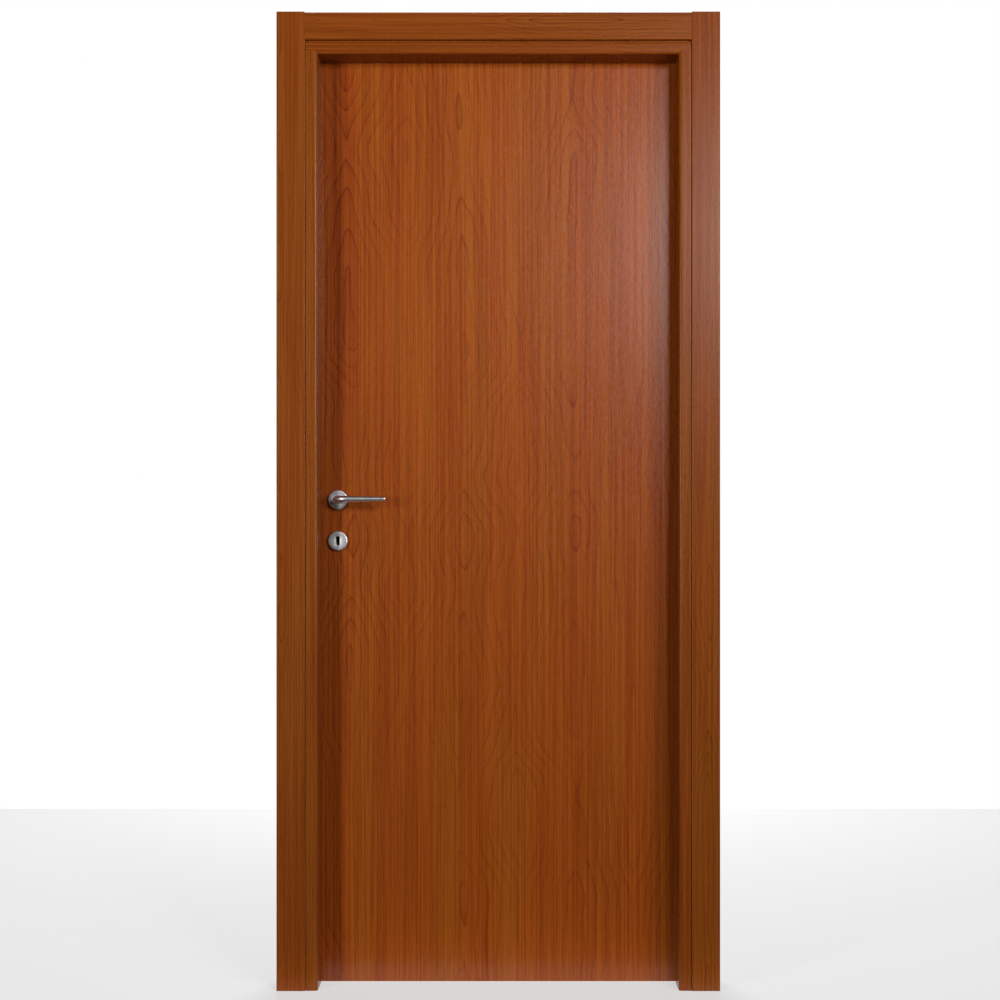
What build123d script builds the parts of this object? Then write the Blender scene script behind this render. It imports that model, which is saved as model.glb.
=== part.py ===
from build123d import *
import math
import os

# Flush internal door hung in its lining, shut, with casings on both sides of the wall.
# Millimetres, +Z up. x = 0 is the outer face of the hinge jamb and y = 0 the middle of the wall.
# The push side faces -Y, the leaf swings away towards +Y, and the lock edge is at -X.

# Doorway
CLEAR_W = 810              # between the stops
CLEAR_H = 2100             # floor to the head stop
WALL = 100                 # wall thickness, between the casing seats
LINING_T = 44              # lining thickness at the stop
REBATE = 12                # step that the leaf shuts into
STOP_Y = 10                # back face of the stop
NOSE = 8                   # how far the lining's nose stands out of the wall on each side
SHOULDER = 17              # strip beside the nose that the casing covers
NOSE_R = 7                 # rounding of the front inner edge
BACK_R = 4                 # rounding of the back inner edge
HEAD_TOP_R = 5             # rounding of the head's nose beside the shadow gap
MITRE = 7                  # small mitre where the roundings meet at the head

# Casings
CASING_W = 64
CASING_T = 10
CASING_LAP = 16            # part of the width that lies over the lining
CASING_R = 2
HEAD_GROOVE = 4            # shadow gap between the head's nose and the head casing
HEAD_CASING_H = 61
CASING_RISE = 1.5          # uprights' tops above the head casing's
TONGUE_IN = 3              # tongue to the casing's inner edge
TONGUE_T = 4
TONGUE_LEN = 18
SLOT_FIT = 0.2
SLOT_DEPTH = 22

# Gasket in the stop
SEAL_STEM = 3
SEAL_STEM_LEN = 5.8
SEAL_W = 9
SEAL_T = 3.6
SEAL_GROOVE = 6
SEAL_IN = 5                # stop face to the near side of the stem

# Leaf
LEAF_T = 44
LEAF_FRONT = 14
HINGE_GAP = 5
LOCK_GAP = 6.8             # the leading corner swells outwards by 1.7 as the leaf swings
TOP_GAP = 5
FLOOR_GAP = 3
SKIN_T = 4
LIPPING = 3
LOCK_STILE_W = 90
HINGE_STILE_W = 40
RAIL_H = 60

# Lock set
SPINDLE_IN = 51            # rebate face to the spindle
SPINDLE_Z = 1103
KEY_DROP = 94
SPINDLE_SIDE = 8
SPINDLE_FIT = 0.05
SPINDLE_OUT = 24           # spindle end beyond each face of the leaf
WOOD_BORE_R = 9.2
WOOD_ROOM = 2              # keyhole in the wood, larger than the real keyhole
CASE_BORE_R = 6
ROSE_R = 22.5
ROSE_T = 9
ROSE_EDGE = 2.6            # width and height of the softened edge
ROSE_BULGE = 0.7           # how far the edge swells out past a plain bevel
KEYHOLE = (21.5, 9)
PLATE_T = 3
PLATE_W = 22
PLATE_PAST = 70            # faceplate past the spindle and past the keyhole
CASE_T = 15
CASE_DEEP = 75
CASE_PAST = 50
BOLT_T = 12
LATCH_H = 22
DEAD_H = 34
BOLT_LEN = 20
BOLT_FIT = 0.25
STRIKE_T = 2
STRIKE_PAST = 43
STRIKE_ROOM = 1            # window in the strike, past the bolt on each side
STRIKE_POCKET = 16

# Levers
COLLAR_R = 9
COLLAR_OFF = 0.4           # collar end to the leaf's face
COLLAR_OUT = 11
GRIP_OUT = 52              # grip axis to the leaf's face
BEND_R = 21
NECK_R = 7.2
GRIP_TIP_R = 4.6
GRIP_TIP_EDGE = 1.3        # step of the grip's softened end
GRIP_LEN = 113

# Hinges
PIN_BACK = 8               # pin axis behind the leaf's back face
BARREL_R = 7
BARREL_H = 45
BARREL_GAP = 0.4
BARREL_EDGE = 1.5
PIN_R = 4
PIN_LEN = 38
PIN_FIT = 0.05
PIN_EDGE = 1               # bevel at the pin's end
PIN_ROOM = 1               # bore past the pin's end
SHANK_R = 3
SHANK_LEN = 30
SHANK_START = 5            # inside the barrel, from the pin axis
SHANK_DROP = 22            # shank to the middle of the hinge
SHANK_FIT = 0.1
JAMB_SHANK_TILT = 35       # degrees from straight into the wall
LEAF_SHANK_TILT = 45
PAST = 1                   # how far a cutter reaches past a face
HINGE_FROM_END = 230       # outer hinges to the floor and to the head stop

# Derived positions
HALF_W = CLEAR_W / 2 + LINING_T
MID_X = -HALF_W
SEAT_Y = WALL / 2
NOSE_Y = SEAT_Y + NOSE
CASING_Y = SEAT_Y + CASING_T
REBATE_AT = LINING_T - REBATE
REBATE_Z = CLEAR_H + REBATE
TOP_Z = CLEAR_H + LINING_T
SQUARE_Z = CLEAR_H + MITRE
NOSE_Z = TOP_Z - SHOULDER
HEAD_CASING_Z = (NOSE_Z + HEAD_GROOVE, NOSE_Z + HEAD_GROOVE + HEAD_CASING_H)
CASING_H = HEAD_CASING_Z[1] + CASING_RISE
TONGUE_AT = CASING_LAP - TONGUE_IN - TONGUE_T / 2
LEAF_BACK = LEAF_FRONT + LEAF_T
LEAF_HINGE_X = -REBATE_AT - HINGE_GAP
LEAF_LOCK_X = -2 * HALF_W + REBATE_AT + LOCK_GAP
LEAF_TOP = REBATE_Z - TOP_GAP
LEAF_MID_Y = LEAF_FRONT + LEAF_T / 2
SPINDLE_X = -2 * HALF_W + REBATE_AT + SPINDLE_IN
KEY_Z = SPINDLE_Z - KEY_DROP
PIN_X = -REBATE_AT - HINGE_GAP / 2
PIN_Y = LEAF_BACK + PIN_BACK
PLATE_Y = (LEAF_MID_Y - PLATE_W / 2, LEAF_MID_Y + PLATE_W / 2)
PLATE_Z = (KEY_Z - PLATE_PAST, SPINDLE_Z + PLATE_PAST)
CASE_Z = (KEY_Z - CASE_PAST, SPINDLE_Z + CASE_PAST)
STRIKE_Z = (KEY_Z - STRIKE_PAST, SPINDLE_Z + STRIKE_PAST)
LATCH_Z = (SPINDLE_Z - LATCH_H / 2, SPINDLE_Z + LATCH_H / 2)
DEAD_Z = (KEY_Z - DEAD_H / 2, KEY_Z + DEAD_H / 2)
HINGES = {"low": HINGE_FROM_END, "mid": CLEAR_H / 2, "high": CLEAR_H - HINGE_FROM_END}

LOCK, HINGE = -1, 1        # sides of the doorway
FRONT, BACK = -1, 1        # sides of the wall


def across(side, inward):
    """X of a point that lies this far in from the lining's outer face."""
    return MID_X + side * (HALF_W - inward)


def face_y(face, height):
    """Y of a point that stands this far off one face of the leaf."""
    return (LEAF_FRONT if face == FRONT else LEAF_BACK) + face * height


def nearest(sketch, x, y):
    """The corner of a sketch that is closest to a point."""
    return sketch.vertices().sort_by_distance((x, y, 0))[0]


def block(x, y, z, mode=Mode.ADD):
    """Add or cut a square block in the open part; x, y and z are pairs of limits."""
    with BuildSketch(Plane.XY.offset(min(z))) as plan:
        with Locations((sum(x) / 2, sum(y) / 2)):
            Rectangle(abs(x[1] - x[0]), abs(y[1] - y[0]))
    extrude(plan.sketch, amount=abs(z[1] - z[0]), mode=mode)


def prism(points, y, mode=Mode.SUBTRACT):
    """Cut or add a shape drawn in X and Z, between two depths."""
    with BuildSketch(Plane.XZ.offset(-min(y))) as side_view:
        with BuildLine():
            Polyline(*points, close=True)
        make_face()
    extrude(side_view.sketch, amount=abs(y[1] - y[0]), dir=(0, 1, 0), mode=mode)


def shank_holes(toward):
    """Cut the slanting holes for all three hinge shanks, towards the jamb or the leaf."""
    for middle in HINGES.values():
        shank(toward, middle, 0, SHANK_LEN + SHANK_FIT, SHANK_R + SHANK_FIT, Mode.SUBTRACT)


def shank(toward, middle, start, end, radius, mode=Mode.ADD):
    """A round bar that slants in from the pin axis; the jamb's is low, the leaf's is high."""
    tilt = math.radians(JAMB_SHANK_TILT if toward == HINGE else LEAF_SHANK_TILT)
    way = (toward * math.sin(tilt), -math.cos(tilt), 0)
    height = middle - toward * SHANK_DROP
    foot = (PIN_X + way[0] * start, PIN_Y + way[1] * start, height)
    with BuildSketch(Plane(origin=foot, x_dir=(0, 0, 1), z_dir=way)) as ring:
        Circle(radius)
    extrude(ring.sketch, amount=end - start, dir=way, mode=mode)


def lock_holes(y, bore_r, slot):
    """Cut the spindle hole and the keyhole between two depths."""
    with BuildSketch(Plane.XZ.offset(-min(y))) as holes:
        with Locations((SPINDLE_X, SPINDLE_Z)):
            Circle(bore_r)
        with Locations((SPINDLE_X, KEY_Z)):
            SlotOverall(slot[0], slot[1], rotation=90)
    extrude(holes.sketch, amount=abs(y[1] - y[0]), dir=(0, 1, 0), mode=Mode.SUBTRACT)


# The lining

def upright(side):
    """One jamb: shoulders for the casings, noses, stop, rebate, slots and gasket groove."""
    with BuildSketch() as plan:
        with BuildLine():
            Polyline(
                (across(side, 0), -SEAT_Y), (across(side, SHOULDER), -SEAT_Y),
                (across(side, SHOULDER), -NOSE_Y), (across(side, LINING_T), -NOSE_Y),
                (across(side, LINING_T), STOP_Y), (across(side, REBATE_AT), STOP_Y),
                (across(side, REBATE_AT), NOSE_Y), (across(side, SHOULDER), NOSE_Y),
                (across(side, SHOULDER), SEAT_Y), (across(side, 0), SEAT_Y), close=True)
        make_face()
        fillet(nearest(plan, across(side, LINING_T), -NOSE_Y), NOSE_R)
        fillet(nearest(plan, across(side, REBATE_AT), NOSE_Y), BACK_R)
        for face in (FRONT, BACK):
            with Locations((across(side, TONGUE_AT), face * (SEAT_Y - SLOT_DEPTH / 2))):
                Rectangle(TONGUE_T + 2 * SLOT_FIT, SLOT_DEPTH, mode=Mode.SUBTRACT)
        with Locations((across(side, LINING_T - SEAL_IN - SEAL_STEM / 2), STOP_Y - SEAL_GROOVE / 2)):
            Rectangle(SEAL_STEM, SEAL_GROOVE, mode=Mode.SUBTRACT)
    with BuildPart() as jamb:
        extrude(plan.sketch, amount=SQUARE_Z, dir=(0, 0, 1))
        prism([(across(side, LINING_T), CLEAR_H), (across(side, LINING_T - MITRE), SQUARE_Z),
               (across(side, LINING_T), SQUARE_Z)], (-NOSE_Y, STOP_Y))
        if side == HINGE:
            shank_holes(HINGE)
        else:
            face_x = across(side, REBATE_AT)
            block((face_x - STRIKE_T, face_x), PLATE_Y, STRIKE_Z, Mode.SUBTRACT)
            for window in strike_windows():
                block((face_x - STRIKE_POCKET, face_x), *window, Mode.SUBTRACT)
    return jamb


def strike_windows():
    """Depth and height limits of the two holes that receive the bolts."""
    reach = BOLT_T / 2 + STRIKE_ROOM
    depth = (LEAF_MID_Y - reach, LEAF_MID_Y + reach)
    return [(depth, (low - STRIKE_ROOM, high + STRIKE_ROOM)) for low, high in (LATCH_Z, DEAD_Z)]


jamb_lock_side = upright(LOCK)
jamb_hinge_side = upright(HINGE)

with BuildPart() as head_jamb:
    with BuildSketch(Plane.YZ.offset(-2 * HALF_W)) as section:
        with BuildLine():
            Polyline(
                (-SEAT_Y, TOP_Z), (-SEAT_Y, NOSE_Z), (-NOSE_Y, NOSE_Z), (-NOSE_Y, CLEAR_H),
                (STOP_Y, CLEAR_H), (STOP_Y, REBATE_Z), (NOSE_Y, REBATE_Z), (NOSE_Y, NOSE_Z),
                (SEAT_Y, NOSE_Z), (SEAT_Y, TOP_Z), close=True)
        make_face()
        fillet(nearest(section, -NOSE_Y, CLEAR_H), NOSE_R)
        fillet([nearest(section, face * NOSE_Y, NOSE_Z) for face in (FRONT, BACK)], HEAD_TOP_R)
        slot_z = HEAD_CASING_Z[0] + TONGUE_IN + TONGUE_T / 2
        for face in (FRONT, BACK):
            with Locations((face * (SEAT_Y - SLOT_DEPTH / 2), slot_z)):
                Rectangle(SLOT_DEPTH, TONGUE_T + 2 * SLOT_FIT, mode=Mode.SUBTRACT)
        with Locations((STOP_Y - SEAL_GROOVE / 2, CLEAR_H + SEAL_IN + SEAL_STEM / 2)):
            Rectangle(SEAL_GROOVE, SEAL_STEM, mode=Mode.SUBTRACT)
    extrude(amount=2 * HALF_W, dir=(1, 0, 0))
    for side in (LOCK, HINGE):
        # Below the square cut the head ends at the mitre; the uprights stand there.
        prism([(across(side, LINING_T), CLEAR_H), (across(side, LINING_T - MITRE), SQUARE_Z),
               (across(side, -PAST), SQUARE_Z), (across(side, -PAST), CLEAR_H - PAST),
               (across(side, LINING_T), CLEAR_H - PAST)], (-NOSE_Y, NOSE_Y))
        block((across(side, 0), across(side, REBATE_AT)), (STOP_Y, NOSE_Y), (SQUARE_Z, REBATE_Z))
        for face in (FRONT, BACK):
            block((across(side, 0), across(side, SHOULDER)), (face * SEAT_Y, face * NOSE_Y),
                  (SQUARE_Z, TOP_Z), Mode.SUBTRACT)
    # The back rounding runs along the head and turns down both corners.
    back_edges = [
        edge for edge in head_jamb.edges().filter_by(GeomType.LINE)
        if abs(edge.center().Y - NOSE_Y) < 0.01 and edge.center().Z < REBATE_Z + 0.01
        and abs(edge.center().X - MID_X) < HALF_W - REBATE_AT + 0.01
        and edge.center().Z > SQUARE_Z + 0.01]
    fillet(back_edges, BACK_R)


# Casings on both sides of the wall

def upright_casing(side, face):
    """A flat casing that stands on the floor, with a tongue in the jamb's slot."""
    with BuildSketch() as plan:
        with Locations((across(side, CASING_LAP - CASING_W / 2), face * (SEAT_Y + CASING_T / 2))):
            Rectangle(CASING_W, CASING_T)
        fillet([nearest(plan, across(side, inward), face * CASING_Y)
                for inward in (CASING_LAP, CASING_LAP - CASING_W)], CASING_R)
    with BuildPart() as casing:
        extrude(plan.sketch, amount=CASING_H, dir=(0, 0, 1))
        block((across(side, TONGUE_AT - TONGUE_T / 2), across(side, TONGUE_AT + TONGUE_T / 2)),
              (face * (SEAT_Y - TONGUE_LEN), face * SEAT_Y), (0, SQUARE_Z - SLOT_FIT))
    return casing


def head_casing(face):
    """The flat casing between the two uprights, with a tongue in the head's slot."""
    low, high = HEAD_CASING_Z
    start = across(LOCK, CASING_LAP)
    with BuildSketch(Plane.YZ.offset(start)) as section:
        with Locations((face * (SEAT_Y + CASING_T / 2), (low + high) / 2)):
            Rectangle(CASING_T, high - low)
        fillet([nearest(section, face * CASING_Y, height) for height in (low, high)], CASING_R)
    with BuildPart() as casing:
        extrude(section.sketch, amount=across(HINGE, CASING_LAP) - start, dir=(1, 0, 0))
        block((across(LOCK, SHOULDER), across(HINGE, SHOULDER)),
              (face * (SEAT_Y - TONGUE_LEN), face * SEAT_Y),
              (low + TONGUE_IN, low + TONGUE_IN + TONGUE_T))
    return casing


casing_front_left = upright_casing(LOCK, FRONT)
casing_front_right = upright_casing(HINGE, FRONT)
casing_front_head = head_casing(FRONT)
casing_back_left = upright_casing(LOCK, BACK)
casing_back_right = upright_casing(HINGE, BACK)
casing_back_head = head_casing(BACK)


# Gasket along the stop, mitred in the corners

SEAL_MID = SEAL_IN + SEAL_STEM / 2     # stop face to the middle of the gasket


def seal_section(plane, middle, upright_piece):
    """T-shaped section: a stem in the groove and a soft round-edged pad on the stop."""
    pad_y = STOP_Y + SEAL_T / 2
    stem_y = STOP_Y - SEAL_STEM_LEN / 2
    with BuildSketch(plane) as section:
        with Locations((middle, pad_y) if upright_piece else (pad_y, middle)):
            Rectangle(*((SEAL_W, SEAL_T) if upright_piece else (SEAL_T, SEAL_W)))
        outer = [vertex for vertex in section.vertices()
                 if abs((vertex.Y if upright_piece else vertex.X) - STOP_Y - SEAL_T) < 0.01]
        fillet(outer, SEAL_T / 2)
        with Locations((middle, stem_y) if upright_piece else (stem_y, middle)):
            Rectangle(*((SEAL_STEM, SEAL_STEM_LEN) if upright_piece else (SEAL_STEM_LEN, SEAL_STEM)))
    return section.sketch


def upright_seal(side):
    """Gasket from the floor to the mitre."""
    with BuildPart() as seal:
        extrude(seal_section(Plane.XY, across(side, LINING_T - SEAL_MID), True),
                amount=REBATE_Z, dir=(0, 0, 1))
        prism([(across(side, LINING_T), CLEAR_H), (across(side, REBATE_AT), REBATE_Z),
               (across(side, LINING_T), REBATE_Z)], (0, LEAF_FRONT))
    return seal


gasket_lock_side = upright_seal(LOCK)
gasket_hinge_side = upright_seal(HINGE)

with BuildPart() as gasket_head:
    extrude(seal_section(Plane.YZ.offset(across(LOCK, REBATE_AT)), CLEAR_H + SEAL_MID, False),
            amount=2 * (HALF_W - REBATE_AT), dir=(1, 0, 0))
    for side in (LOCK, HINGE):
        prism([(across(side, LINING_T), CLEAR_H), (across(side, REBATE_AT), REBATE_Z),
               (across(side, REBATE_AT), CLEAR_H)], (0, LEAF_FRONT))

with BuildPart() as strike_plate:
    strike_x = across(LOCK, REBATE_AT)
    block((strike_x - STRIKE_T, strike_x), PLATE_Y, STRIKE_Z)
    for window in strike_windows():
        block((strike_x - STRIKE_T, strike_x), *window, Mode.SUBTRACT)


# The leaf: stiles, rails, two skins and lippings round a hollow core

INNER_LOCK_X = LEAF_LOCK_X + LIPPING
INNER_HINGE_X = LEAF_HINGE_X - LIPPING
INNER_TOP = LEAF_TOP - LIPPING
CORE_Y = (LEAF_FRONT + SKIN_T, LEAF_BACK - SKIN_T)
RAIL_X = (INNER_LOCK_X + LOCK_STILE_W, INNER_HINGE_X - HINGE_STILE_W)
CASE_X = (LEAF_LOCK_X + PLATE_T, LEAF_LOCK_X + CASE_DEEP)
CASE_Y = (LEAF_MID_Y - CASE_T / 2, LEAF_MID_Y + CASE_T / 2)
WOOD_KEYHOLE = (KEYHOLE[0] + WOOD_ROOM, KEYHOLE[1] + WOOD_ROOM)

with BuildPart() as lock_stile:
    block((INNER_LOCK_X, RAIL_X[0]), CORE_Y, (FLOOR_GAP, INNER_TOP))
    block(CASE_X, CASE_Y, CASE_Z, Mode.SUBTRACT)
    lock_holes(CORE_Y, WOOD_BORE_R, WOOD_KEYHOLE)

with BuildPart() as hinge_stile:
    block((RAIL_X[1], INNER_HINGE_X), CORE_Y, (FLOOR_GAP, INNER_TOP))
    shank_holes(LOCK)

with BuildPart() as top_rail:
    block(RAIL_X, CORE_Y, (INNER_TOP - RAIL_H, INNER_TOP))

with BuildPart() as bottom_rail:
    block(RAIL_X, CORE_Y, (FLOOR_GAP, FLOOR_GAP + RAIL_H))

with BuildPart() as skin_front:
    block((INNER_LOCK_X, INNER_HINGE_X), (LEAF_FRONT, CORE_Y[0]), (FLOOR_GAP, INNER_TOP))
    lock_holes((LEAF_FRONT, CORE_Y[0]), WOOD_BORE_R, WOOD_KEYHOLE)

with BuildPart() as skin_back:
    block((INNER_LOCK_X, INNER_HINGE_X), (CORE_Y[1], LEAF_BACK), (FLOOR_GAP, INNER_TOP))
    lock_holes((CORE_Y[1], LEAF_BACK), WOOD_BORE_R, WOOD_KEYHOLE)
    shank_holes(LOCK)

with BuildPart() as lipping_lock:
    block((LEAF_LOCK_X, INNER_LOCK_X), (LEAF_FRONT, LEAF_BACK), (FLOOR_GAP, INNER_TOP))
    block((LEAF_LOCK_X, INNER_LOCK_X), PLATE_Y, PLATE_Z, Mode.SUBTRACT)

with BuildPart() as lipping_hinge:
    block((INNER_HINGE_X, LEAF_HINGE_X), (LEAF_FRONT, LEAF_BACK), (FLOOR_GAP, INNER_TOP))
    shank_holes(LOCK)

with BuildPart() as lipping_top:
    block((LEAF_LOCK_X, LEAF_HINGE_X), (LEAF_FRONT, LEAF_BACK), (INNER_TOP, LEAF_TOP))


# Lock, bolts drawn in

with BuildPart() as lock_case:
    block((LEAF_LOCK_X, CASE_X[0]), PLATE_Y, PLATE_Z)
    block(CASE_X, CASE_Y, CASE_Z)
    lock_holes(CASE_Y, CASE_BORE_R, KEYHOLE)
    for low, high in (LATCH_Z, DEAD_Z):
        block((LEAF_LOCK_X, LEAF_LOCK_X + BOLT_LEN),
              (LEAF_MID_Y - BOLT_T / 2 - BOLT_FIT, LEAF_MID_Y + BOLT_T / 2 + BOLT_FIT),
              (low - BOLT_FIT, high + BOLT_FIT), Mode.SUBTRACT)


def bolt(limits):
    """A bolt drawn in flush with the faceplate."""
    with BuildPart() as bar:
        block((LEAF_LOCK_X, LEAF_LOCK_X + BOLT_LEN),
              (LEAF_MID_Y - BOLT_T / 2, LEAF_MID_Y + BOLT_T / 2), limits)
    return bar


latch_bolt = bolt(LATCH_Z)
dead_bolt = bolt(DEAD_Z)


# Roses and levers on both faces

def rose(face, height, keyhole):
    """A turned round rose with a softened edge, pierced for the collar or for the key."""
    centre = (SPINDLE_X, face_y(face, 0), height)
    with BuildPart() as disc:
        with BuildSketch(Plane(origin=centre, x_dir=(0, face, 0), z_dir=(0, 0, 1))) as half:
            with BuildLine():
                Polyline((0, 0), (0, ROSE_R), (ROSE_T - ROSE_EDGE, ROSE_R),
                         (ROSE_T - ROSE_BULGE, ROSE_R - ROSE_BULGE),
                         (ROSE_T, ROSE_R - ROSE_EDGE), (ROSE_T, 0), close=True)
            make_face()
        revolve(half.sketch, axis=Axis(centre, (0, 1, 0)))
        with BuildSketch(Plane.XZ.offset(-face_y(face, 0))) as hole:
            with Locations((SPINDLE_X, height)):
                if keyhole:
                    SlotOverall(*KEYHOLE, rotation=90)
                else:
                    Circle(COLLAR_R + SLOT_FIT)
        extrude(hole.sketch, amount=ROSE_T, dir=(0, face, 0), mode=Mode.SUBTRACT)
    return disc


def lever(face):
    """Collar, neck and elbow, and a tapering round grip that points at the hinge side."""
    spindle_end = face_y(face, SPINDLE_OUT + SPINDLE_FIT)
    bend_start = face_y(face, GRIP_OUT - BEND_R)
    bend_end = (SPINDLE_X + BEND_R, face_y(face, GRIP_OUT), SPINDLE_Z)
    grip = GRIP_LEN - BEND_R
    with BuildPart() as handle:
        neck = (NECK_R, COLLAR_OUT, GRIP_OUT - BEND_R)
        for radius, low, high in ((COLLAR_R, COLLAR_OFF, COLLAR_OUT), neck):
            with BuildSketch(Plane.XZ.offset(-face_y(face, low))) as round_bar:
                with Locations((SPINDLE_X, SPINDLE_Z)):
                    Circle(radius)
            extrude(round_bar.sketch, amount=high - low, dir=(0, face, 0))
        with BuildSketch(Plane.XZ.offset(-bend_start)) as elbow:
            with Locations((SPINDLE_X, SPINDLE_Z)):
                Circle(NECK_R)
        revolve(elbow.sketch, axis=Axis((SPINDLE_X + BEND_R, bend_start, SPINDLE_Z), (0, 0, -face)),
                revolution_arc=90)
        with BuildSketch(Plane(origin=bend_end, x_dir=(1, 0, 0), z_dir=(0, -1, 0))) as half:
            with BuildLine():
                Polyline((0, 0), (0, NECK_R), (grip - 2 * GRIP_TIP_EDGE, GRIP_TIP_R),
                         (grip - GRIP_TIP_EDGE / 2, GRIP_TIP_R - GRIP_TIP_EDGE),
                         (grip, GRIP_TIP_R - 2 * GRIP_TIP_EDGE), (grip, 0), close=True)
            make_face()
        revolve(half.sketch, axis=Axis(bend_end, (1, 0, 0)))
        side = SPINDLE_SIDE / 2 + SPINDLE_FIT
        block((SPINDLE_X - side, SPINDLE_X + side), (face_y(face, COLLAR_OFF), spindle_end),
              (SPINDLE_Z - side, SPINDLE_Z + side), Mode.SUBTRACT)
    return handle


rose_front = rose(FRONT, SPINDLE_Z, False)
rose_back = rose(BACK, SPINDLE_Z, False)
key_rose_front = rose(FRONT, KEY_Z, True)
key_rose_back = rose(BACK, KEY_Z, True)
lever_front = lever(FRONT)
lever_back = lever(BACK)

with BuildPart() as spindle:
    block((SPINDLE_X - SPINDLE_SIDE / 2, SPINDLE_X + SPINDLE_SIDE / 2),
          (face_y(FRONT, SPINDLE_OUT), face_y(BACK, SPINDLE_OUT)),
          (SPINDLE_Z - SPINDLE_SIDE / 2, SPINDLE_Z + SPINDLE_SIDE / 2))


# Lift-off pin hinges in the corner behind the leaf

def barrel(middle, points, toward):
    """Turn a barrel round the pin axis and add its slanting shank."""
    centre = (PIN_X, PIN_Y, middle)
    with BuildPart() as half_hinge:
        with BuildSketch(Plane(origin=centre, x_dir=(1, 0, 0), z_dir=(0, -1, 0))) as half:
            with BuildLine():
                Polyline(*points, close=True)
            make_face()
        revolve(half.sketch, axis=Axis(centre, (0, 0, 1)))
        shank(toward, middle, SHANK_START, SHANK_LEN, SHANK_R)
    return half_hinge


def frame_half(middle):
    """Lower barrel with the pin and a softened foot."""
    lip = -BARREL_GAP / 2
    points = [(0, -BARREL_H), (BARREL_R - BARREL_EDGE, -BARREL_H), (BARREL_R, BARREL_EDGE - BARREL_H),
              (BARREL_R, lip), (PIN_R, lip), (PIN_R, PIN_LEN - PIN_EDGE), (PIN_R - PIN_EDGE, PIN_LEN),
              (0, PIN_LEN)]
    return barrel(middle, points, HINGE)


def leaf_half(middle):
    """Upper barrel, bored for the pin, with a softened top."""
    lip = BARREL_GAP / 2
    bore = PIN_R + PIN_FIT
    bottom = PIN_LEN + PIN_ROOM
    points = [(bore, lip), (BARREL_R, lip), (BARREL_R, BARREL_H - BARREL_EDGE),
              (BARREL_R - BARREL_EDGE, BARREL_H), (0, BARREL_H), (0, bottom), (bore, bottom)]
    return barrel(middle, points, LOCK)


pieces = {
    "jamb_lock_side": jamb_lock_side, "jamb_hinge_side": jamb_hinge_side, "head_jamb": head_jamb,
    "casing_front_left": casing_front_left, "casing_front_right": casing_front_right,
    "casing_front_head": casing_front_head, "casing_back_left": casing_back_left,
    "casing_back_right": casing_back_right, "casing_back_head": casing_back_head,
    "gasket_lock_side": gasket_lock_side, "gasket_hinge_side": gasket_hinge_side,
    "gasket_head": gasket_head, "strike_plate": strike_plate, "lock_stile": lock_stile,
    "hinge_stile": hinge_stile, "top_rail": top_rail, "bottom_rail": bottom_rail,
    "skin_front": skin_front, "skin_back": skin_back, "lipping_lock": lipping_lock,
    "lipping_hinge": lipping_hinge, "lipping_top": lipping_top, "lock_case": lock_case,
    "latch_bolt": latch_bolt, "dead_bolt": dead_bolt, "rose_front": rose_front,
    "rose_back": rose_back, "key_rose_front": key_rose_front, "key_rose_back": key_rose_back,
    "lever_front": lever_front, "lever_back": lever_back, "spindle": spindle}
for level, middle in HINGES.items():
    pieces[f"hinge_frame_{level}"] = frame_half(middle)
    pieces[f"hinge_leaf_{level}"] = leaf_half(middle)

for name, piece in pieces.items():
    piece.part.label = name
    export_step(piece.part, f"parts/{name}.step")
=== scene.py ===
"""Looks for a flush cherry-veneered internal door in its lining: veneer, satin handle set, hinges and stage."""

import math

import bmesh
import bpy
from mathutils import Matrix, Vector


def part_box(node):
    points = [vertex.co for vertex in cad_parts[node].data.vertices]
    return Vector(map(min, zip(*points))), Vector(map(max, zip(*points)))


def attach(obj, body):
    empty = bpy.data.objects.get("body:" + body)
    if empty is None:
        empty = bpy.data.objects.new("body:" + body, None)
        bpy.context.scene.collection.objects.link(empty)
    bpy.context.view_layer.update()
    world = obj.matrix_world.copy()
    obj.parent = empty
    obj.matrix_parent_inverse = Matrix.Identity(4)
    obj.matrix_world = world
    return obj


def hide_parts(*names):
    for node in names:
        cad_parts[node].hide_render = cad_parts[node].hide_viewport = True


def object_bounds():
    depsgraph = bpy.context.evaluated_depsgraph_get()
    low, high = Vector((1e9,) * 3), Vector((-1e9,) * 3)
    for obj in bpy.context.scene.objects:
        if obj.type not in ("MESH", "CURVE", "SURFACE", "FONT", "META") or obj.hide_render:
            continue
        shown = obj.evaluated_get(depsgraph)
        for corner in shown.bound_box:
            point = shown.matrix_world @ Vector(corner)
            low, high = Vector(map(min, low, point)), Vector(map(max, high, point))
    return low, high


bl_info = {
    "name": "Veneered Internal Door",
    "version": (1, 0, 0),
    "blender": (4, 5, 0),
    "location": "3D View > Sidebar > Door",
    "description": "Finishes a flush internal door with its lining, casings, lever set and hinges",
    "category": "Add Mesh",
}

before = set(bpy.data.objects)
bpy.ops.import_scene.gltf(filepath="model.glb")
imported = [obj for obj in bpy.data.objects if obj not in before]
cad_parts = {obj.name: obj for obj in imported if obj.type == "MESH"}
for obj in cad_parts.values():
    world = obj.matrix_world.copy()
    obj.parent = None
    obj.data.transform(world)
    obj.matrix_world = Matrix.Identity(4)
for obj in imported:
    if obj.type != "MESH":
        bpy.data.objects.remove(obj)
CAD_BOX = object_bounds()

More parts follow.
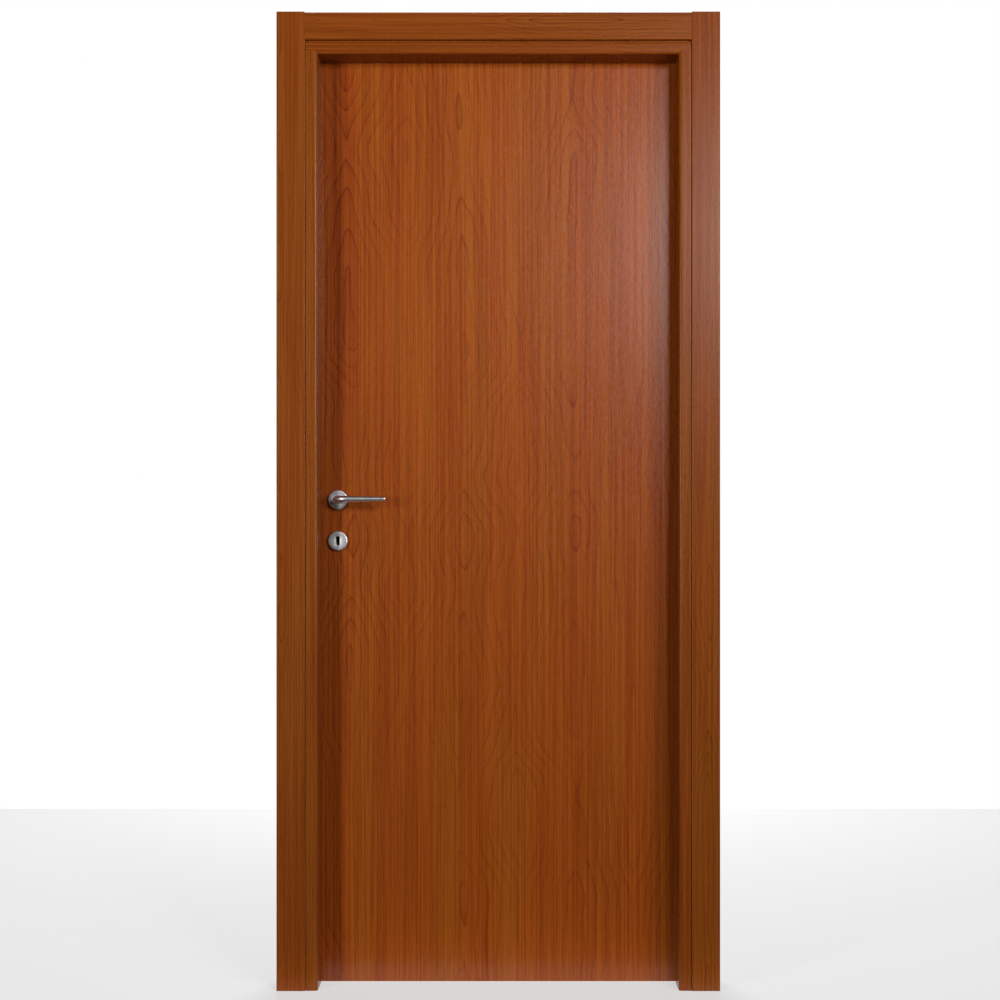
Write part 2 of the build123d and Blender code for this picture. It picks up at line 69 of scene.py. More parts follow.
FRONT, BACK = -1, 1            # sides of the wall along Y
SIDE_NAMES = {FRONT: "front", BACK: "back"}
UPRIGHT_NODES = ("jamb_lock_side", "jamb_hinge_side", "casing_front_left", "casing_front_right",
                 "casing_back_left", "casing_back_right")
HEAD_NODES = ("head_jamb", "casing_front_head", "casing_back_head")
LEAF_NODES = ("skin_front", "skin_back")
EDGE_NODES = ("lipping_lock", "lipping_hinge")
CORE_NODES = ("lock_stile", "hinge_stile", "top_rail", "bottom_rail")
SEAL_NODES = ("gasket_lock_side", "gasket_hinge_side", "gasket_head")
LOCK_NODES = ("lock_case", "latch_bolt", "dead_bolt", "strike_plate")
HINGE_NODES = [f"hinge_{half}_{level}" for half in ("frame", "leaf") for level in ("low", "mid", "high")]


def low_high(node):
    """The lowest and highest corners of a CAD piece."""
    low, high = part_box(node)
    return Vector(low), Vector(high)


SPINDLE = sum(low_high("rose_front"), Vector()) / 2
KEYHOLE = sum(low_high("key_rose_front"), Vector()) / 2
LEAF_FACE = {FRONT: low_high("skin_front")[0].y, BACK: low_high("skin_back")[1].y}
DOOR_FOOT = Vector(((CAD_BOX[0][0] + CAD_BOX[1][0]) / 2, CAD_BOX[0][1], 0))

# Veneer
LOCK_STRIP_EDGE = (-0.803, -0.787)     # where the darker strip on the lock side ends, along X
LOCK_STRIP_TONE = -0.16

# Roses and keyhole
KEYHOLE_RADIUS = 0.0045
KEYHOLE_RISE = 0.00625         # from the keyhole's middle to the centre of each round end
COLLAR_HOLE_RADIUS = 0.0092
MOUTH_REACH = 0.0125           # edges of the hole lie within this distance of its middle
MOUTH_EDGE = 0.0005
LOCK_WORKS_DEPTH = 0.006

# Lever
COLLAR_RADIUS = 0.009
COLLAR_FOOT = 0.0004           # above the leaf's face
COLLAR_RINGS = ((0.0095, 1.0), (0.0008, 0.955), (0.0002, 0.86))     # rise and scale
NECK_STEP = 0.0005             # from the collar's edge to the neck
NECK_FLARE = 1.06              # the neck against the grip where it leaves the elbow

# Meshes
MERGE_DISTANCE = 1e-6
ON_AXIS = 1e-7
RIM_SLACK = 0.0002
SHARP_ANGLE = math.radians(40)

# Stage
FLOOR_MIDDLE = (-0.44, 1.23, 0)
FLOOR_HALF_SIZE = (3.4, 1.37)
FLOOR_SHADE = 0.34
FLOOR_GLOW = 0.57
SENSOR_WIDTH = 36


class DoorVeneer(bpy.types.PropertyGroup):
    """Colours and gloss of the cherry veneer."""
    shade_dark: bpy.props.FloatVectorProperty(
        name="Dark grain", description="Colour of the darkest grain lines", subtype="COLOR",
        size=3, min=0, max=1, default=(0.165, 0.020, 0.0005))
    shade_mid: bpy.props.FloatVectorProperty(
        name="Wood", description="Main colour of the stained veneer", subtype="COLOR",
        size=3, min=0, max=1, default=(0.305, 0.067, 0.0042))
    shade_light: bpy.props.FloatVectorProperty(
        name="Light grain", description="Colour of the lightest bands", subtype="COLOR",
        size=3, min=0, max=1, default=(0.440, 0.108, 0.0095))
    red_tint: bpy.props.FloatVectorProperty(
        name="Red tint", description="Multiplies the colour of the redder stripes", subtype="COLOR",
        size=3, min=0, max=1, default=(0.98, 0.86, 0.84))
    trim_tint: bpy.props.FloatVectorProperty(
        name="Trim tint", description="Multiplies the veneer's colour on the lining and casings", subtype="COLOR",
        size=3, min=0, max=2, default=(0.77, 0.86, 1.40))
    lacquer_roughness: bpy.props.FloatProperty(
        name="Lacquer roughness", description="Roughness of the satin lacquer", default=0.26, min=0, max=1)
    leaf_gloss: bpy.props.FloatProperty(
        name="Leaf gloss", description="Strength of reflections on the leaf", default=0.42, min=0, max=1)
    trim_gloss: bpy.props.FloatProperty(
        name="Trim gloss", description="Strength of reflections on the lining and casings", default=0.17,
        min=0, max=1)
    leaf_pores: bpy.props.FloatProperty(
        name="Leaf pores", description="Depth of the embossed pores on the leaf", default=0.00012,
        min=0, max=0.001, unit="LENGTH", precision=5)
    trim_pores: bpy.props.FloatProperty(
        name="Trim pores", description="Depth of the embossed pores on the lining and casings", default=0.00008,
        min=0, max=0.001, unit="LENGTH", precision=5)


class DoorHandle(bpy.types.PropertyGroup):
    """Sizes of the lever set and finish of its satin metal."""
    metal: bpy.props.FloatVectorProperty(
        name="Metal", description="Colour of the satin nickel", subtype="COLOR",
        size=3, min=0, max=1, default=(0.74, 0.735, 0.75))
    metal_roughness: bpy.props.FloatProperty(
        name="Metal roughness", description="Roughness of the satin nickel", default=0.38, min=0.05, max=0.9)
    rose_edge: bpy.props.FloatProperty(
        name="Rose edge", description="Rounding of a rose's front edge", default=0.0026, min=0, unit="LENGTH")
    neck_radius: bpy.props.FloatProperty(
        name="Neck radius", description="Radius of the lever's neck", default=0.0073, min=0, unit="LENGTH")
    tip_radius: bpy.props.FloatProperty(
        name="Tip radius", description="Radius of the grip just before its rounded tip", default=0.0047,
        min=0, unit="LENGTH")
    bend_radius: bpy.props.FloatProperty(
        name="Bend radius", description="Radius of the elbow's middle line", default=0.021, min=0, unit="LENGTH")


class DoorStage(bpy.types.PropertyGroup):
    """Place of the camera and strength of the studio lights."""
    camera_distance: bpy.props.FloatProperty(
        name="Camera distance", description="From the lens to the front casings", default=3.6, min=0.5,
        unit="LENGTH")
    camera_side: bpy.props.FloatProperty(
        name="Camera side", description="Lens along the wall", default=-0.4452, unit="LENGTH")
    camera_height: bpy.props.FloatProperty(
        name="Camera height", description="Lens above the floor", default=0.96, min=0, unit="LENGTH")
    picture_height: bpy.props.FloatProperty(
        name="Picture height", description="Height that the picture takes in at the casings", default=2.2392,
        min=0.1, unit="LENGTH")
    picture_shift: bpy.props.FloatProperty(
        name="Picture shift", description="Moves the picture up without tilting the lens", default=0.0624,
        min=-0.2, max=0.2)
    key_power: bpy.props.FloatProperty(
        name="Key light", description="Power of the light high on the right", default=26, min=0, unit="POWER")
    side_power: bpy.props.FloatProperty(
        name="Side light", description="Power of the wide light farther right", default=30, min=0, unit="POWER")
    fill_power: bpy.props.FloatProperty(
        name="Fill light", description="Power of the tall light on the left", default=26, min=0, unit="POWER")
    back_power: bpy.props.FloatProperty(
        name="Back light", description="Power of the light behind the door", default=200, min=0, unit="POWER")
    ambient: bpy.props.FloatProperty(
        name="Ambient", description="Brightness of the soft surroundings", default=0.02, min=0)


# Materials

def start_material(name):
    """A new node material, its tree and its shader."""
    material = bpy.data.materials.new(name)
    material.use_nodes = True
    return material, material.node_tree, material.node_tree.nodes["Principled BSDF"]


def calc(tree, operation, first, second=None, third=None):
    """One Math node; a number or a socket goes into each input."""
    node = tree.nodes.new("ShaderNodeMath")
    node.operation = operation
    for socket, value in zip(node.inputs, (first, second, third)):
        if isinstance(value, bpy.types.NodeSocket):
            tree.links.new(value, socket)
        elif value is not None:
            socket.default_value = value
    return node.outputs[0]


def add_share(tree, total, value, share, middle=0.0):
    """Adds a share of a value, measured from its middle, to a total."""
    if middle:
        value = calc(tree, "SUBTRACT", value, middle)
    return calc(tree, "MULTIPLY_ADD", value, share, total)


def grain_noise(tree, along, fine, stretch, detail=2.0, shift=0.0, roughness=0.5):
    """Noise from 0 to 1, drawn out along the grain into fibres."""
    coords = tree.nodes.new("ShaderNodeTexCoord")
    mapping = tree.nodes.new("ShaderNodeMapping")
    scale = [fine, fine, fine]
    scale["XYZ".index(along)] = fine / stretch
    mapping.inputs["Scale"].default_value = scale
    mapping.inputs["Location"].default_value = (shift, shift * 0.7, shift * 1.3)
    noise = tree.nodes.new("ShaderNodeTexNoise")
    noise.inputs["Scale"].default_value = 1.0
    noise.inputs["Detail"].default_value = detail
    noise.inputs["Roughness"].default_value = roughness
    tree.links.new(coords.outputs["Object"], mapping.inputs["Vector"])
    tree.links.new(mapping.outputs["Vector"], noise.inputs["Vector"])
    return noise.outputs["Fac"]


def band(tree, value, low, high, bottom=0.0, top=1.0):
    """Turns a range of a value into another range, with smooth ends."""
    node = tree.nodes.new("ShaderNodeMapRange")
    node.interpolation_type = "SMOOTHSTEP"
    for name, number in (("From Min", low), ("From Max", high), ("To Min", bottom), ("To Max", top)):
        node.inputs[name].default_value = number
    tree.links.new(value, node.inputs["Value"])
    return node.outputs["Result"]


def colour_ramp(tree, factor, stops):
    """A colour ramp with the given positions and colours."""
    stops = list(stops)
    ramp = tree.nodes.new("ShaderNodeValToRGB")
    elements = ramp.color_ramp.elements
    while len(elements) < len(stops):
        elements.new(0.5)
    for element, (position, colour) in zip(elements, stops):
        element.position = position
        element.color = (*colour, 1)
    tree.links.new(factor, ramp.inputs["Fac"])
    return ramp.outputs["Color"]


def add_relief(tree, shader, height, depth, strength=1.0):
    """Turns a height into fine relief on the surface."""
    bump = tree.nodes.new("ShaderNodeBump")
    bump.inputs["Strength"].default_value = strength
    bump.inputs["Distance"].default_value = depth
    tree.links.new(height, bump.inputs["Height"])
    tree.links.new(bump.outputs["Normal"], shader.inputs["Normal"])


def growth_rings(tree, along, across, shift, strip):
    """Dark ring lines; each strip of veneer has its own middle, where they close into spear heads."""
    sway = grain_noise(tree, along, 3.5, 3.0, detail=1, shift=shift + 7)
    place = calc(tree, "MULTIPLY_ADD", sway, 0.22, calc(tree, "MULTIPLY_ADD", across, 1 / strip, shift))
    from_middle = calc(tree, "MULTIPLY", calc(tree, "PINGPONG", place, 0.5), 2)
    hollow = calc(tree, "SQRT", calc(tree, "MULTIPLY_ADD", from_middle, from_middle, 0.006))
    drift = grain_noise(tree, along, 2.2, 0.60, detail=1.5, shift=shift + 8, roughness=0.35)
    wander = grain_noise(tree, along, 40, 9, detail=2, shift=shift + 9)
    field = calc(tree, "MULTIPLY_ADD", hollow, 6.0, calc(tree, "MULTIPLY", drift, 9))
    ring = calc(tree, "FRACT", calc(tree, "MULTIPLY_ADD", wander, 0.7, field))
    line = calc(tree, "MULTIPLY_ADD", band(tree, ring, 0.2, 1.0), 0.35, band(tree, ring, 0.82, 0.97))
    patches = band(tree, grain_noise(tree, along, 7, 3, detail=1, shift=shift + 12), 0.42, 0.60, 0.35, 1.0)
    strength = calc(tree, "MULTIPLY", patches, calc(tree, "MULTIPLY_ADD", from_middle, -0.4, 1.0))
    return calc(tree, "MULTIPLY", line, strength)


def veneer(name, along, shift, strip, figure=1.0, leaf_face=False):
    """Stained cherry veneer under satin lacquer: spear-shaped figure, fibres, dark flecks and embossed pores."""
    finish = bpy.context.scene.door_veneer
    tint, gloss, depth = finish.trim_tint, finish.trim_gloss, finish.trim_pores
    if leaf_face:
        tint, gloss, depth = (1, 1, 1), finish.leaf_gloss, finish.leaf_pores
    material, tree, shader = start_material(name)
    coords = tree.nodes.new("ShaderNodeTexCoord")
    split = tree.nodes.new("ShaderNodeSeparateXYZ")
    tree.links.new(coords.outputs["Object"], split.inputs["Vector"])
    across = split.outputs["Z" if along == "X" else "X"]

    broad = grain_noise(tree, along, 6.0, 12, detail=2, shift=shift)
    streak = grain_noise(tree, along, 115, 110, detail=3, shift=shift + 3, roughness=0.6)
    fibre = band(tree, grain_noise(tree, along, 360, 160, detail=1, shift=shift + 5), 0.38, 0.62)
    fleck = band(tree, grain_noise(tree, along, 150, 9, detail=1, shift=shift + 15), 0.70, 0.78)
    pore = band(tree, grain_noise(tree, along, 300, 10, detail=1, shift=shift + 18), 0.56, 0.72)
    tone = add_share(tree, 0.585, broad, 0.24, middle=0.5)
    tone = add_share(tree, tone, streak, 0.17, middle=0.5)
    tone = add_share(tree, tone, fibre, 0.30, middle=0.5)
    tone = add_share(tree, tone, growth_rings(tree, along, across, shift, strip), -0.25 * figure)
    tone = add_share(tree, tone, fleck, -0.10)
    tone = add_share(tree, tone, pore, -0.09)
    if leaf_face:
        wavy = add_share(tree, across, broad, 0.03, middle=0.5)
        tone = calc(tree, "ADD", tone, band(tree, wavy, *LOCK_STRIP_EDGE, LOCK_STRIP_TONE, 0.0))

    shades = [[channel * factor for channel, factor in zip(shade, tint)]
              for shade in (finish.shade_dark, finish.shade_mid, finish.shade_light)]
    hue = grain_noise(tree, along, 16, 14, detail=2, shift=shift + 2)
    redder = tree.nodes.new("ShaderNodeMix")
    redder.data_type = "RGBA"
    redder.blend_type = "MULTIPLY"
    redder.inputs["B"].default_value = (*finish.red_tint, 1)
    tree.links.new(band(tree, hue, 0.40, 0.62), redder.inputs["Factor"])
    tree.links.new(colour_ramp(tree, tone, zip((0.0, 0.55, 1.0), shades)), redder.inputs["A"])
    tree.links.new(redder.outputs["Result"], shader.inputs["Base Color"])

    emboss = grain_noise(tree, along, 330, 4, detail=2, shift=shift + 21, roughness=0.6)
    smooth, rough = finish.lacquer_roughness - 0.03, finish.lacquer_roughness + 0.05
    tree.links.new(band(tree, emboss, 0.3, 0.7, smooth, rough), shader.inputs["Roughness"])
    add_relief(tree, shader, add_share(tree, emboss, pore, -0.25), depth)
    shader.inputs["Specular IOR Level"].default_value = gloss
    return material


def raw_wood(name):
    """Pale softwood of the leaf's hidden frame."""
    material, tree, shader = start_material(name)
    fibre = grain_noise(tree, "Z", 90, 20, detail=3)
    colour = colour_ramp(tree, fibre, ((0.3, (0.50, 0.32, 0.16)), (0.7, (0.68, 0.49, 0.28))))
    tree.links.new(colour, shader.inputs["Base Color"])
    shader.inputs["Roughness"].default_value = 0.75
    return material


def satin_metal(name, colour, roughness, along="X"):
    """Satin metal with a faint brushed variation."""
    material, tree, shader = start_material(name)
    brushed = grain_noise(tree, along, 2600, 18, detail=2)
    cloud = grain_noise(tree, along, 90, 1, detail=3, shift=4)
    shader.inputs["Metallic"].default_value = 1.0
    shade = colour_ramp(tree, cloud, ((0.25, [channel * 0.97 for channel in colour]), (0.75, colour)))
    tree.links.new(shade, shader.inputs["Base Color"])
    tree.links.new(band(tree, brushed, 0.25, 0.75, roughness - 0.05, roughness + 0.06), shader.inputs["Roughness"])
    add_relief(tree, shader, brushed, 0.00002, strength=0.15)
    return material


def soft_rubber(name):
    """Dark brown extruded gasket rubber."""
    material, tree, shader = start_material(name)
    cloud = grain_noise(tree, "Z", 300, 12, detail=3)
    colour = colour_ramp(tree, cloud, ((0.3, (0.020, 0.009, 0.005)), (0.7, (0.034, 0.015, 0.008))))
    tree.links.new(colour, shader.inputs["Base Color"])
    tree.links.new(band(tree, cloud, 0.3, 0.7, 0.55, 0.7), shader.inputs["Roughness"])
    return material


def glowing_white(name):
    """Matt pale floor paint with a little light of its own."""
    material, tree, shader = start_material(name)
    shader.inputs["Base Color"].default_value = (FLOOR_SHADE, FLOOR_SHADE, FLOOR_SHADE, 1)
    shader.inputs["Roughness"].default_value = 0.9
    shader.inputs["Specular IOR Level"].default_value = 0.0
    shader.inputs["Emission Color"].default_value = (1, 1, 1, 1)
    shader.inputs["Emission Strength"].default_value = FLOOR_GLOW
    return material


def dress(nodes, material):
    """Gives CAD pieces their material."""
    for name in nodes:
        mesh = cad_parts[name].data
        mesh.materials.clear()
        mesh.materials.append(material)


# Mesh helpers

def only(items, kind):
    """The items of one kind, such as vertices, out of what an operator made."""
    return [item for item in items if isinstance(item, kind)]


def ring_edges(shape, radius, segments, height=0.0, filled=False):
    """A ring around the local Z axis and its edges; filled gives it a face."""
    made = bmesh.ops.create_circle(shape, cap_ends=filled, segments=segments, radius=radius,
                                   matrix=Matrix.Translation((0, 0, height)))
    return list(dict.fromkeys(edge for vert in made["verts"] for edge in vert.link_edges))


def stretch_to_keyhole(shape, ring):
    """Pulls the upper and lower halves of a ring apart into the outline of the keyhole."""
    for sign in (1, -1):
        verts = {vert for edge in ring for vert in edge.verts if vert.co.y * sign > ON_AXIS}
        bmesh.ops.translate(shape, verts=list(verts), vec=(0, sign * KEYHOLE_RISE, 0))


def raise_faces(shape, faces, height):
    """Draws faces up along the local Z axis, with walls around them."""
    made = bmesh.ops.extrude_face_region(shape, geom=faces)["geom"]
    bmesh.ops.translate(shape, verts=only(made, bmesh.types.BMVert), vec=(0, 0, height))


def round_off(shape, edges, radius, segments):
    """Rounds edges off."""
    bmesh.ops.bevel(shape, geom=edges, offset=radius, offset_type="OFFSET", segments=segments, profile=0.5,
                    affect="EDGES", material=-1)


def grow(shape, edges, move=(0, 0, 0), scale=1.0, turn=None, pivot=(0, 0, 0)):
    """Draws the next ring out of the last one, then moves, turns and scales it about its own middle."""
    made = bmesh.ops.extrude_edge_only(shape, edges=edges)["geom"]
    verts = only(made, bmesh.types.BMVert)
    bmesh.ops.translate(shape, verts=verts, vec=move)
    if turn is not None:
        bmesh.ops.rotate(shape, verts=verts, cent=pivot, matrix=turn)
    middle = sum((vert.co for vert in verts), Vector()) / len(verts)
    bmesh.ops.scale(shape, verts=verts, vec=(scale,) * 3, space=Matrix.Translation(-middle))
    return only(made, bmesh.types.BMEdge)


def rim_edges(shape, height, radius):
    """Edges that lie at this height and at this distance from the local Z axis."""
    return [edge for edge in shape.edges
            if all(abs(vert.co.z - height) < RIM_SLACK and abs(vert.co.xy.length - radius) < RIM_SLACK
                   for vert in edge.verts)]


def mouth_edges(shape, height):
    """Edges of the hole in a rose's front face, where the face meets the hole's wall."""
    return [edge for edge in shape.edges
            if all(abs(vert.co.z - height) < MERGE_DISTANCE and vert.co.xy.length < MOUTH_REACH
                   for vert in edge.verts)
            and any(abs(face.normal.z) < 0.5 for face in edge.link_faces)]


def out_of_leaf(face, centre):
    """Local X along the grip, Z out of the leaf's face, placed at a point of that face."""
    turned = Matrix(((1, 0, 0), (0, 0, face), (0, 1, 0))).to_4x4()
    return Matrix.Translation((centre.x, LEAF_FACE[face], centre.z)) @ turned


def add_object(shape, name, material):
    """Turns a bmesh into an object of the scene with one material."""
    mesh = bpy.data.meshes.new(name)
    shape.to_mesh(mesh)
    shape.free()
    mesh.materials.append(material)
    made = bpy.data.objects.new(name, mesh)
    bpy.context.scene.collection.objects.link(made)
    return made


def finish_piece(shape, name, material, body, place, replaces=()):
    """Turns a bmesh into a piece with outward faces that rides on a body."""
    bmesh.ops.transform(shape, matrix=place, verts=shape.verts)
    bmesh.ops.remove_doubles(shape, verts=shape.verts, dist=MERGE_DISTANCE)
    bmesh.ops.recalc_face_normals(shape, faces=shape.faces)
    piece = add_object(shape, name, material)
    piece.data.shade_smooth()
    piece.data.set_sharp_from_angle(angle=SHARP_ANGLE)
    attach(piece, body)
    if replaces:
        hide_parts(*replaces)


# Pieces

def build_rose(face, centre, node, pierced, metal):
    """A rose with a rounded rim, open for the collar or, if pierced, for the key."""
    low, high = low_high(node)
    radius, thick = (high.x - low.x) / 2, high.y - low.y
    shape = bmesh.new()
    outer = ring_edges(shape, radius, 96)
    inner = ring_edges(shape, KEYHOLE_RADIUS if pierced else COLLAR_HOLE_RADIUS, 96)
    if pierced:
        stretch_to_keyhole(shape, inner)
    raise_faces(shape, bmesh.ops.bridge_loops(shape, edges=outer + inner)["faces"], thick)
    round_off(shape, rim_edges(shape, thick, radius), bpy.context.scene.door_handle.rose_edge, 7)
    round_off(shape, mouth_edges(shape, thick), MOUTH_EDGE, 3)
    finish_piece(shape, f"{node}_turned", metal, "leaf", out_of_leaf(face, centre), (node,))


def grip_rings(sizes, length):
    """Distance from the elbow and radius of each ring of the grip, down to its rounded tip."""
    neck, tip = sizes.neck_radius, sizes.tip_radius
    straight = length - tip
    for step in range(1, 25):
        share = step / 24
        yield straight * share, neck + (tip - neck) * (0.45 * share + 0.55 * share ** 2)
    for step in range(1, 9):
        angle = math.radians(90 * step / 9)
        yield straight + tip * math.sin(angle), tip * math.cos(angle)


def build_lever(face, metal):
    """Collar, neck, swept elbow and a grip that tapers to a rounded tip."""
    sizes = bpy.context.scene.door_handle
    node = f"lever_{SIDE_NAMES[face]}"
    low, high = low_high(node)
    out = abs((high.y if face == BACK else low.y) - LEAF_FACE[face]) - sizes.neck_radius
    shape = bmesh.new()
    edges = ring_edges(shape, COLLAR_RADIUS, 48, height=COLLAR_FOOT, filled=True)
    radius, height = COLLAR_RADIUS, COLLAR_FOOT
    for rise, scale in COLLAR_RINGS:
        edges = grow(shape, edges, (0, 0, rise), scale)
        radius, height = radius * scale, height + rise
    edges = grow(shape, edges, (0, 0, NECK_STEP), sizes.neck_radius * NECK_FLARE / radius)
    height += NECK_STEP

    elbow = Vector((sizes.bend_radius, 0, out - sizes.bend_radius))
    neck_rings, elbow_rings = 6, 14
    for _ in range(neck_rings):
        edges = grow(shape, edges, (0, 0, (elbow.z - height) / neck_rings))
    turn = Matrix.Rotation(math.radians(90 / elbow_rings), 3, "Y")
    for _ in range(elbow_rings):
        edges = grow(shape, edges, turn=turn, pivot=elbow, scale=(1 / NECK_FLARE) ** (1 / elbow_rings))

    radius, done = sizes.neck_radius, 0.0
    for ahead, target in grip_rings(sizes, high.x - SPINDLE.x - sizes.bend_radius):
        edges = grow(shape, edges, (ahead - done, 0, 0), target / radius)
        radius, done = target, ahead
    bmesh.ops.contextual_create(shape, geom=edges)
    finish_piece(shape, f"{node}_swept", metal, "lever", out_of_leaf(face, SPINDLE), (node,))


def build_lock_works(metal):
    """The levers inside the lock case, which close the view through the keyhole; their near-black colour is
    painted shade for the dark inside of the keyhole.
    """
    shape = bmesh.new()
    stretch_to_keyhole(shape, ring_edges(shape, KEYHOLE_RADIUS, 32, filled=True))
    raise_faces(shape, list(shape.faces), LOCK_WORKS_DEPTH)
    low, high = low_high("lock_case")
    middle = Matrix.Translation((KEYHOLE.x, (low.y + high.y + LOCK_WORKS_DEPTH) / 2, KEYHOLE.z))
    place = middle @ Matrix.Rotation(math.radians(90), 4, "X")
    finish_piece(shape, "lock_works", metal, "leaf", place)


# Stage

def soft_light(name, place, aim, size, power, spread=180):
    """A rectangular soft light aimed past the door's foot; a smaller spread keeps it to the middle."""
    data = bpy.data.lights.new(name, "AREA")
    data.shape = "RECTANGLE"
    data.size, data.size_y = size
    data.energy = power
    data.spread = math.radians(spread)
    light = bpy.data.objects.new(name, data)
    light.location = place
    light.rotation_euler = (DOOR_FOOT + Vector(aim) - Vector(place)).to_track_quat("-Z", "Y").to_euler()
    bpy.context.scene.collection.objects.link(light)


def build_floor():
    """A plain floor from just in front of the casings to well behind the door."""
    shape = bmesh.new()
    place = Matrix.Translation(FLOOR_MIDDLE) @ Matrix.Diagonal((*FLOOR_HALF_SIZE, 1, 1))
    bmesh.ops.create_grid(shape, x_segments=1, y_segments=1, size=1, matrix=place)
    add_object(shape, "studio_floor", glowing_white("pale_floor"))


def build_surroundings(brightness):
    """Soft even surroundings that show white behind the door."""
    world = bpy.data.worlds.new("studio")
    bpy.context.scene.world = world
    world.use_nodes = True
    tree = world.node_tree
    background = tree.nodes["Background"]
    background.inputs["Color"].default_value = (1, 1, 1, 1)
    seen = tree.nodes.new("ShaderNodeLightPath").outputs["Is Camera Ray"]
    strength = tree.nodes.new("ShaderNodeMapRange")
    strength.inputs["To Min"].default_value = brightness
    strength.inputs["To Max"].default_value = 1.0
    tree.links.new(seen, strength.inputs["Value"])
    tree.links.new(strength.outputs["Result"], background.inputs["Strength"])


def build_camera(stage):
    """A level camera straight in front of the door."""
    data = bpy.data.cameras.new("camera")
    data.sensor_width = SENSOR_WIDTH
    data.lens = SENSOR_WIDTH * stage.camera_distance / stage.picture_height
    data.shift_y = stage.picture_shift
    camera = bpy.data.objects.new("camera", data)
    casing_face = low_high("casing_front_left")[0].y
    camera.location = (stage.camera_side, casing_face - stage.camera_distance, stage.camera_height)
    camera.rotation_euler = (math.radians(90), 0, 0)
    bpy.context.scene.collection.objects.link(camera)
    bpy.context.scene.camera = camera


# Operators

class DOOR_OT_veneer(bpy.types.Operator):
    """Finish the lining, casings and leaf in cherry veneer."""
    bl_idname = "door.veneer"
    bl_label = "Veneer"

    def execute(self, context):
        dress(UPRIGHT_NODES, veneer("veneer_upright", "Z", shift=1.7, strip=0.12))
        dress(HEAD_NODES, veneer("veneer_head", "X", shift=4.1, strip=0.11, figure=1.3))
        dress(LEAF_NODES, veneer("veneer_leaf", "Z", shift=-0.03, strip=0.2555, leaf_face=True))
        dress(EDGE_NODES, veneer("veneer_lipping", "Z", shift=2.9, strip=0.07, figure=0.4))
        dress(("lipping_top",), veneer("veneer_lipping_top", "X", shift=3.3, strip=0.07, figure=0.4))
        dress(CORE_NODES, raw_wood("softwood_core"))
        return {"FINISHED"}


class DOOR_OT_seal(bpy.types.Operator):
    """Finish the gasket along the stop."""
    bl_idname = "door.seal"
    bl_label = "Gasket"

    def execute(self, context):
        dress(SEAL_NODES, soft_rubber("gasket_rubber"))
        return {"FINISHED"}


class DOOR_OT_handles(bpy.types.Operator):
    """Make the roses and levers on both faces of the leaf."""
    bl_idname = "door.handles"
    bl_label = "Handles"

    def execute(self, context):
        sizes = context.scene.door_handle
        metal = satin_metal("satin_nickel", sizes.metal, sizes.metal_roughness)
        dress(("spindle",), metal)
        for face, side in SIDE_NAMES.items():
            build_rose(face, SPINDLE, f"rose_{side}", False, metal)
            build_rose(face, KEYHOLE, f"key_rose_{side}", True, metal)
            build_lever(face, metal)
        return {"FINISHED"}


class DOOR_OT_lock(bpy.types.Operator):
    """Finish the lock's faceplate, bolts and strike, and make its inner levers, coloured near-black as painted
    shade inside the keyhole.
    """
    bl_idname = "door.lock"
    bl_label = "Lock"

    def execute(self, context):
        dress(LOCK_NODES, satin_metal("brushed_steel", (0.60, 0.585, 0.55), 0.36, along="Z"))
        # the inner levers get a near-black colour: painted shade for the dark inside of the keyhole
        build_lock_works(satin_metal("lock_levers_painted_shade", (0.03, 0.03, 0.03), 0.5))
        return {"FINISHED"}


class DOOR_OT_hinges(bpy.types.Operator):
    """Finish the lift-off hinges behind the leaf."""
    bl_idname = "door.hinges"
    bl_label = "Hinges"

    def execute(self, context):
        dress(HINGE_NODES, satin_metal("hinge_nickel", (0.63, 0.61, 0.57), 0.3, along="Z"))
        return {"FINISHED"}


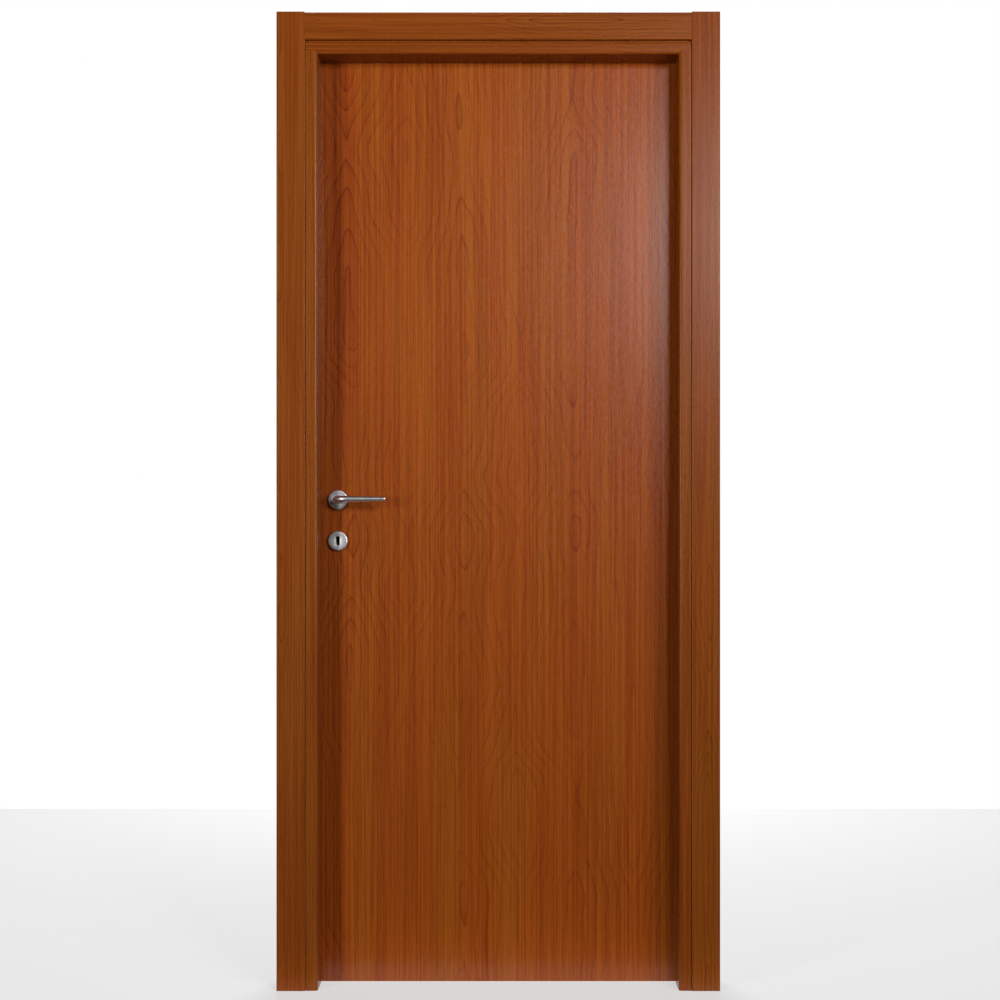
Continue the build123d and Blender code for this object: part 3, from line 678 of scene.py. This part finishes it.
class DOOR_OT_stage(bpy.types.Operator):
    """Set up the pale floor, the soft lights and the camera."""
    bl_idname = "door.stage"
    bl_label = "Stage"

    def execute(self, context):
        stage = context.scene.door_stage
        context.scene.view_settings.view_transform = "Standard"
        build_floor()
        build_surroundings(stage.ambient)
        soft_light("key_light", (1.25, -4.2, 2.6), (0, 0, 2.0), (0.9, 0.8), stage.key_power, spread=100)
        soft_light("side_light", (2.9, -3.9, 1.7), (0, 0, 1.9), (1.4, 1.2), stage.side_power, spread=100)
        soft_light("fill_light", (-3.4, -3.6, 1.5), (0, 0, 1.8), (0.6, 1.6), stage.fill_power, spread=100)
        soft_light("back_light", (-0.44, 3.8, 3.4), (0, 1.2, 0.4), (3.0, 2.0), stage.back_power)
        build_camera(stage)
        return {"FINISHED"}


class DOOR_PT_panel(bpy.types.Panel):
    """Buttons and sizes of the door."""
    bl_label = "Veneered Door"
    bl_idname = "DOOR_PT_panel"
    bl_space_type = "VIEW_3D"
    bl_region_type = "UI"
    bl_category = "Door"

    def draw(self, context):
        for name, group in GROUPS.items():
            box = self.layout.box()
            box.label(text=name.removeprefix("door_").capitalize())
            for key in group.__annotations__:
                box.prop(getattr(context.scene, name), key)
        for operator in OPERATORS:
            self.layout.operator(operator.bl_idname)


GROUPS = {"door_veneer": DoorVeneer, "door_handle": DoorHandle, "door_stage": DoorStage}
OPERATORS = (DOOR_OT_veneer, DOOR_OT_seal, DOOR_OT_handles, DOOR_OT_lock, DOOR_OT_hinges, DOOR_OT_stage)


def register():
    """Adds the groups, operators and panel."""
    for cls in (*GROUPS.values(), *OPERATORS, DOOR_PT_panel):
        bpy.utils.register_class(cls)
    for name, group in GROUPS.items():
        setattr(bpy.types.Scene, name, bpy.props.PointerProperty(type=group))


def unregister():
    """Removes them again."""
    for name in GROUPS:
        delattr(bpy.types.Scene, name)
    for cls in (DOOR_PT_panel, *reversed(OPERATORS), *reversed(list(GROUPS.values()))):
        bpy.utils.unregister_class(cls)


def main():
    """Builds every piece in turn."""
    register()
    bpy.ops.door.veneer()
    bpy.ops.door.seal()
    bpy.ops.door.handles()
    bpy.ops.door.lock()
    bpy.ops.door.hinges()
    bpy.ops.door.stage()


if __name__ == "__main__":
    main()
